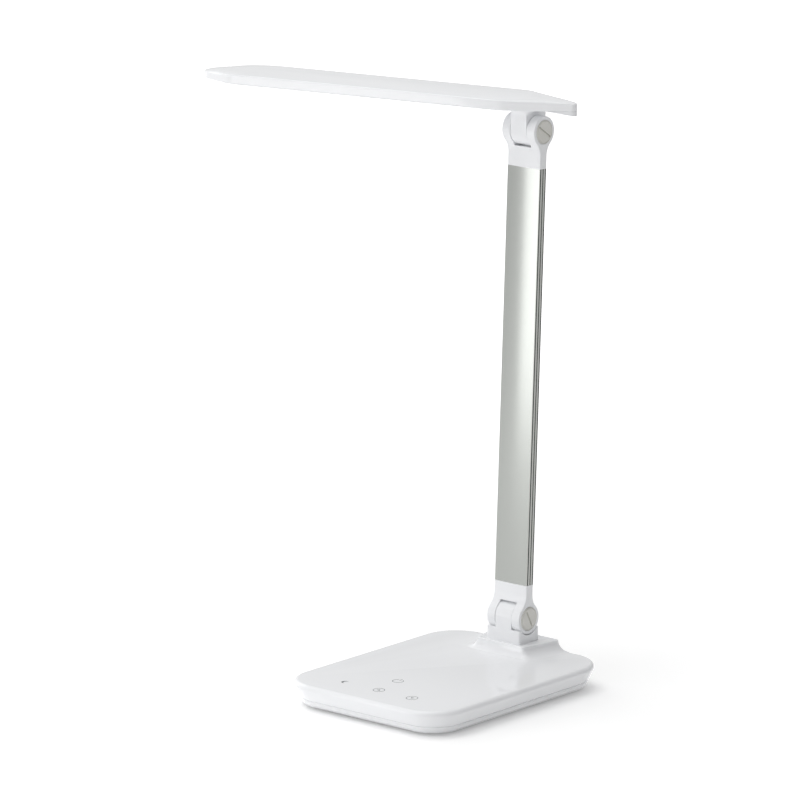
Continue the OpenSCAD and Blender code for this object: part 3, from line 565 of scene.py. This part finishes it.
def bracketSection(x, inset, shrink):
    # side outline at one place across the arm: round ear, hollow blends, web as thick as the arm there
    b = bracket
    earR, flare = b["earR"] - shrink, b["flare"] + shrink
    web = arm["t"] / 2 + arm["crown"] * (1 - (x / (arm["w"] / 2)) ** 2) - shrink
    flareT = web + flare
    flareS = math.sqrt((earR + flare) ** 2 - flareT ** 2)
    join = math.atan2(flareS, flareT)
    points = []
    for k in range(b["earSteps"] + 1):
        a = join - (math.pi + 2 * join) * k / b["earSteps"]
        points.append((x, earR * math.cos(a), earR * math.sin(a)))
    for k in range(1, b["flareSteps"] + 1):
        a = join * (k / b["flareSteps"] - 1)
        points.append((x, flare * math.cos(a) - flareT, flareS + flare * math.sin(a)))
    points += [(x, -web, inset), (x, web, inset)]
    for k in range(b["flareSteps"]):
        a = math.pi + join * k / b["flareSteps"]
        points.append((x, flareT + flare * math.cos(a), flareS + flare * math.sin(a)))
    return points


def buildBracket(inset):
    b = bracket
    half, edge, steps = arm["w"] / 2, b["edge"], b["acrossSteps"]
    places = [(half - edge * into, edge * (1 - rise)) for rise, into in quarter(b["edgeSteps"])]
    places += [(half * (1 - k / steps), 0.0) for k in range(1, steps)]
    places += [(0.0, 0.0)] + [(-x, shrink) for x, shrink in reversed(places)]
    solid, tongue, slot, bores, screws = (bmesh.new() for _ in range(5))
    loft(solid, [bracketSection(x, inset, shrink) for x, shrink in places])
    block(tongue, (-b["tongueW"], b["tongueW"]), (-b["tongueT"], b["tongueT"]),
          (inset - b["tongueSink"], inset + b["tongueL"]))
    block(slot, (-b["slotHalf"], b["slotHalf"]), (-past, past), (-past, b["slotEnd"]))
    for way in (-1, 1):
        turned(bores, [(way * x, r) for x, r in ((b["boreFrom"], b["bore"]), (b["wellX"], b["bore"]),
                                                 (b["wellX"], b["wellR"]), (b["seatX"], b["wellR"]),
                                                 (b["seatX"], b["seatR"]), (past, b["seatR"]))])
    block(bores, (-b["ductW"], b["ductW"]), (-b["ductT"], b["ductT"]), (b["slotEnd"] - overlap, inset + past))
    for sx in (-1, 1):
        peg(screws, -past, past, arm["screwR"], "Y", (sx * arm["screwX"], 0, arm["screwS"]),
            arm["screwSteps"])
    solid = combined(solid, tongue, "UNION")
    for cutter in (slot, bores, screws):
        solid = combined(solid, cutter)
    return solid


def buildCaps(turn, length):
    # a slotted cover at each end of a hinge pin, with a fine ring groove inside its edge
    c = caps
    floor = c["out"] - c["ringDepth"]
    profile = [(c["in"], c["r"])]
    profile += [(c["out"] - c["edge"] * (1 - rise), c["r"] - c["edge"] * into)
                for rise, into in quarter(c["edgeSteps"])]
    profile += [(c["out"], c["ringOut"]), (floor, c["ringOut"] - c["ringSlope"]),
                (floor, c["ringIn"] + c["ringSlope"]), (c["out"], c["ringIn"])]
    lean = Matrix.Rotation(math.radians(turn), 4, "X")
    solid, slots = bmesh.new(), bmesh.new()
    for way in (-1, 1):
        turned(solid, [(way * x, r) for x, r in profile])
        block(slots, sorted((way * (c["out"] - c["slotDepth"]), way * past)),
              (-c["slotHalf"], c["slotHalf"]), (-length / 2, length / 2))
    bmesh.ops.transform(slots, matrix=lean, verts=slots.verts)
    return combined(solid, slots)


def buildDiscs():
    # thin white discs that fill the gaps beside the knuckle
    d = discs
    solid, bore = bmesh.new(), bmesh.new()
    profile = [(d["in"], d["r"] - d["edge"]), (d["in"] + d["inSlope"], d["r"]),
               (d["out"] - d["outSlope"], d["r"]), (d["out"], d["r"] - d["edge"])]
    for way in (-1, 1):
        turned(solid, [(way * x, r) for x, r in profile])
    peg(bore, -past, past, d["bore"], "X", steps=fine)
    return combined(solid, bore)


def buildKnuckle():
    # a drum between the ears whose neck rises flush with it and spreads under the head
    n = knuckle
    solid, neck, bore, tube, wire, channel = (bmesh.new() for _ in range(6))
    rim = [(n["half"] - n["edge"] * (1 - rise), n["r"] - n["edge"] * into)
           for rise, into in quarter(n["edgeSteps"])]
    turned(solid, [(-x, r) for x, r in reversed(rim)] + rim)
    high = n["top"] - n["rim"]
    levels = [(n["flareZ"] * k / n["neckSteps"], 0.0) for k in range(n["neckSteps"])]
    levels += [(n["flareZ"] + (high - n["flareZ"]) * rise, into) for rise, into in quarter(n["flareSteps"])]
    levels.append((n["top"], 1.0))
    sections = []
    for z, spread in levels:
        x = n["half"] + (n["trumpetR"] - n["half"]) * spread
        y = n["r"] + (n["trumpetR"] - n["r"]) * spread
        corner = n["edge"] + (min(x, y) - n["cornerGap"] - n["edge"]) * spread ** 0.5
        plan = roundedCorners([(-x, -y), (x, -y), (x, y), (-x, y)], [corner] * 4, n["cornerSteps"])
        sections.append([(px, py, z) for px, py in plan])
    loft(neck, sections)
    peg(bore, -past, past, n["bore"], "X", steps=fine)
    peg(tube, n["tubeFoot"], past, n["tubeR"])
    peg(wire, -past, n["tubeFoot"] + n["wireR"], n["wireR"], at=(0, n["wireY"], 0),
        steps=n["wireSteps"])
    block(channel, (-n["channelHalf"], n["channelHalf"]), (n["channelFrom"], n["wireY"]),
          (n["tubeFoot"] - n["channelSink"], n["tubeFoot"] + 2 * n["wireR"]))
    solid = combined(solid, neck, "UNION")
    for cutter in (bore, tube, wire, channel):
        solid = combined(solid, cutter)
    return solid


def addMade(bm, name, node, slot, place, smoothDegrees=32):
    settle(meshFrom(bm, place), name, bodyOf(node), slot, node, smoothDegrees)


addMade(buildArm(), "arm_extrusion", "arm_profile", "anodised_aluminium", hingePlace("lower"), 30)
for end in ("lower", "upper"):
    place = hingePlace(end)
    addMade(buildBracket(arm["insets"][end]), end + "_bracket", end + "_clevis", "white_abs_satin", place, 30)
    addMade(buildCaps(*caps["slots"][end]), end + "_caps", end + "_covers", "warm_grey_plastic", place)
    dressed(end + "_pin", end + "_hinge_pin", "zinc_steel", 0.2)
    dressed(end + "_pin_nut", end + "_hinge_nut", "zinc_steel", 0.15)
    dressed(end + "_spring_washers", end + "_spring_washer", "spring_steel")
    addMade(buildDiscs(), end + "_friction_discs", end + "_friction_washers", "friction_nylon", place)
dressed("clevis_screws", "bracket_screws", "zinc_steel", 0.12)
addMade(buildKnuckle(), "swivel_knuckle", "head_knuckle", "white_abs_satin",
        Matrix.Translation(upperHinge()), 30)
dressed("swivel_tube", "swivel_pipe", "zinc_steel")
dressed("swivel_washer", "swivel_disc", "friction_nylon")
dressed("swivel_nut", "swivel_hex_nut", "zinc_steel", 0.2)
print("arm done")


# the flat bar: drops are how far below the top each ring of its rounded edge lies, and foot gives the
# lower edge as [height, inset]
head = {"w": 44.0, "reach": 246.0, "tail": 36.0, "tipR": 13.0, "tailR": 4.0, "bodyR": 20.0, "t": 6.9,
        "wall": 1.6, "tailStart": 14.5, "tipStart": 212.5, "spread": 0.4, "edge": 0.9, "edgeIn": 0.8,
        "tailDroop": 1.7, "tailShort": 26.0, "tipDroop": 2.2, "tipShort": 34.0, "planSteps": 200,
        "drops": (2.4, 1.9, 1.5, 1.2, 0.95, 0.75, 0.58, 0.43, 0.3, 0.19, 0.1, 0.04, 0.0),
        "foot": ((0.0, 0.5), (0.2, 0.25), (0.6, 0.06), (1.2, 0.0))}


def headPlace():
    return Matrix.Translation(upperHinge()) @ Matrix.Rotation(-math.radians(hinge["turn"]), 4, "Z")


def headRing(z, inset, tailShort=0.0, tipShort=0.0):
    # plan of the head at one height, wrapped round the discs of its body, tail and tip
    h = head
    x = h["w"] / 2 - h["bodyR"]
    front = min(h["tipStart"], h["reach"] - tipShort - h["bodyR"])
    tail = min(h["tailR"] + h["spread"] * tailShort, h["bodyR"])
    tip = min(h["tipR"] + h["spread"] * tipShort, h["bodyR"])
    ends = [(0, h["tail"] - tailShort - tail, tail), (0, tip + tipShort - h["reach"], tip)]
    ends += [(sx * x, y, h["bodyR"]) for sx in (-1, 1) for y in (-h["tailStart"], -front)]
    points = []
    for k in range(h["planSteps"]):
        a = math.tau * (k + 0.5) / h["planSteps"]
        c, s = math.cos(a), math.sin(a)
        cx, cy, r = max(ends, key=lambda d: d[0] * c + d[1] * s + d[2])
        points.append((cx + (r - inset) * c, cy + (r - inset) * s, hinge["under"] + z))
    return points


def headTopRings(down, inset):
    # the side, the rounded edge and the gently drooping ends
    h = head
    rings = []
    for drop in h["drops"]:
        edge = max(0.0, 1 - drop / h["edge"])
        tail = h["tailShort"] * max(0.0, 1 - math.sqrt(drop / h["tailDroop"]))
        tip = h["tipShort"] * max(0.0, 1 - math.sqrt(drop / h["tipDroop"]))
        rings.append(headRing(h["t"] - down - drop,
                              inset + h["edgeIn"] * (1 - math.sqrt(1 - edge ** 2)), tail, tip))
    return rings


def buildHeadShell():
    bm = bmesh.new()
    wall = head["wall"]
    rings = list(reversed(headTopRings(wall, wall))) + [headRing(0.0, wall)]
    rings += [headRing(z, inset) for z, inset in head["foot"]]
    loft(bm, rings + headTopRings(0.0, 0.0))
    return bm


addMade(buildHeadShell(), "head_shell", "head_top_shell", "white_abs_gloss", headPlace(), 40)
dressed("head_bottom_frame", "head_frame", "white_abs_satin", 0.2)
dressed("diffuser", "opal_window", "opal_diffuser", 0.15)
dressed("head_screws", "head_frame_screws", "zinc_steel", 0.1)

# the pieces inside keep their CAD shape
inside = {"ballast_plate": "raw_steel", "ballast_screws": "zinc_steel", "base_screws": "zinc_steel",
          "control_board": "circuit_board", "board_screws": "zinc_steel", "touch_springs": "spring_brass",
          "hinge_plate": "zinc_steel", "block_screws": "zinc_steel", "arm_lead": "white_cable",
          "light_guide": "clear_acrylic", "reflector_sheet": "white_film", "led_bars": "circuit_board",
          "led_chips": "led_phosphor", "back_plate": "back_aluminium"}
for node, slot in inside.items():
    for holder in frame["nodes"][node].material_slots:
        holder.material = finish[slot]
print("head done")


# the floor glows a little for the camera, more with distance, so it is painted a shade darker round the
# object, which deepens its shadow there; it shows pale in gloss, and the world is bright on one side and dim
# on the other
studio = {"floorSize": 14.0, "floorColour": "#FAFAFA", "floorRoughness": 0.9, "worldBright": 0.85,
          "worldDim": 0.12, "brightSide": (-0.9, -0.35, 0.5), "glossLift": 0.5, "liftNear": 0.16,
          "liftFar": 0.6, "near": 0.08, "far": 1.2}
# places in metres, power in watts
softboxes = {
    "topSoftbox": {"place": (-0.4, -0.2, 2.1), "aim": (0, 0, 0.1), "size": (1.5, 1.5), "power": 14},
    "leftSoftbox": {"place": (-2.1, 0.3, 1.0), "aim": (0, 0, 0.2), "size": (1.2, 1.6), "power": 6},
    "frontPanel": {"place": (-0.48, -0.911, 0.16), "aim": (0, 0.085, 0.16), "size": (0.42, 0.42),
                   "power": 1.3, "shadow": False},
    "rightFill": {"place": (1.3, -1.5, 0.35), "aim": (0, 0, 0.05), "size": (0.8, 0.5),
                  "power": 1.6, "shadow": False}}
# the camera, in degrees and millimetres
view = {"azimuth": 40.53, "elevation": 13.333, "distance": 4266.6, "aimHeight": 203.7, "aimRight": -30.04,
        "lens": 289.62, "sensor": 36, "clipEnd": 50}


def addFloor():
    bm = bmesh.new()
    bmesh.ops.create_grid(bm, x_segments=1, y_segments=1, size=studio["floorSize"] / 2)
    mesh = bpy.data.meshes.new("studioFloor")
    bm.to_mesh(mesh)
    bm.free()
    floor = bpy.data.objects.new("studioFloor", mesh)
    bpy.context.scene.collection.objects.link(floor)
    material, tree, shader, place = startMaterial("studioPaper")
    shader.inputs["Base Color"].default_value = fromHex(studio["floorColour"])
    shader.inputs["Roughness"].default_value = studio["floorRoughness"]
    seen = addNode(tree, "ShaderNodeLightPath")
    either = addNode(tree, "ShaderNodeMath", {0: seen.outputs["Is Glossy Ray"],
                                              1: seen.outputs["Is Transmission Ray"]},
                     operation="MAXIMUM")
    # the glow is least round the object: painted shade on the floor near it
    reach = addNode(tree, "ShaderNodeVectorMath", {0: place}, operation="LENGTH")
    fade = addNode(tree, "ShaderNodeMapRange", {"Value": reach.outputs["Value"],
                                                "From Min": studio["near"], "From Max": studio["far"],
                                                "To Min": studio["liftNear"], "To Max": studio["liftFar"]})
    lift = addNode(tree, "ShaderNodeMath", {0: seen.outputs["Is Camera Ray"], 1: fade.outputs["Result"]},
                   operation="MULTIPLY")
    shine = addNode(tree, "ShaderNodeMath", {0: either.outputs[0], 1: studio["glossLift"]},
                    operation="MULTIPLY")
    lift = addNode(tree, "ShaderNodeMath", {0: lift.outputs[0], 1: shine.outputs[0]}, operation="ADD")
    glow = addNode(tree, "ShaderNodeEmission", {"Strength": lift.outputs[0]})
    both = addNode(tree, "ShaderNodeAddShader", {0: shader.outputs[0], 1: glow.outputs[0]})
    tree.links.new(both.outputs[0], tree.nodes["Material Output"].inputs["Surface"])
    mesh.materials.append(material)


def addWorld():
    world = bpy.data.worlds.new("studioWorld")
    bpy.context.scene.world = world
    world.use_nodes = True
    tree = world.node_tree
    background = tree.nodes["Background"]
    background.inputs["Color"].default_value = fromHex("#FFFFFF")
    seen = addNode(tree, "ShaderNodeLightPath")
    either = addNode(tree, "ShaderNodeMath", {0: seen.outputs["Is Camera Ray"],
                                              1: seen.outputs["Is Transmission Ray"]}, operation="MAXIMUM")
    where = addNode(tree, "ShaderNodeTexCoord").outputs["Generated"]
    side = addNode(tree, "ShaderNodeVectorMath", {0: where, 1: Vector(studio["brightSide"]).normalized()},
                   operation="DOT_PRODUCT")
    shade = addNode(tree, "ShaderNodeMapRange", {"Value": side.outputs["Value"], "From Min": -1.0,
                                                 "From Max": 1.0, "To Min": studio["worldDim"],
                                                 "To Max": studio["worldBright"]})
    strength = addNode(tree, "ShaderNodeMapRange", {"Value": either.outputs[0],
                                                    "To Min": shade.outputs["Result"], "To Max": 1.0})
    tree.links.new(strength.outputs["Result"], background.inputs["Strength"])


def addSoftbox(name, place, aim, size, power, shadow=True):
    data = bpy.data.lights.new(name, "AREA")
    data.shape = "RECTANGLE"
    data.size, data.size_y = size
    data.energy = power
    data.use_shadow = shadow
    lamp = bpy.data.objects.new(name, data)
    lamp.location = place
    lamp.rotation_euler = (Vector(aim) - Vector(place)).to_track_quat("-Z", "Y").to_euler()
    bpy.context.scene.collection.objects.link(lamp)


def addCamera():
    v = view
    turn, rise = math.radians(v["azimuth"]), math.radians(v["elevation"])
    level = Vector((-math.sin(turn), math.cos(turn), 0))
    right = Vector((math.cos(turn), math.sin(turn), 0))
    forward = level * math.cos(rise) - Vector((0, 0, math.sin(rise)))
    aim = Vector((0, 0, v["aimHeight"])) + right * v["aimRight"]
    data = bpy.data.cameras.new("camera")
    data.lens = v["lens"]
    data.sensor_width = v["sensor"]
    data.sensor_fit = "HORIZONTAL"
    data.clip_end = v["clipEnd"]
    camera = bpy.data.objects.new("camera", data)
    camera.location = (aim - forward * v["distance"]) * mm
    camera.rotation_euler = forward.to_track_quat("-Z", "Y").to_euler()
    bpy.context.scene.collection.objects.link(camera)
    bpy.context.scene.camera = camera


addFloor()
addWorld()
for name, softbox in softboxes.items():
    addSoftbox(name, **softbox)
addCamera()
bpy.context.scene.view_settings.view_transform = "Standard"
print("studio done")
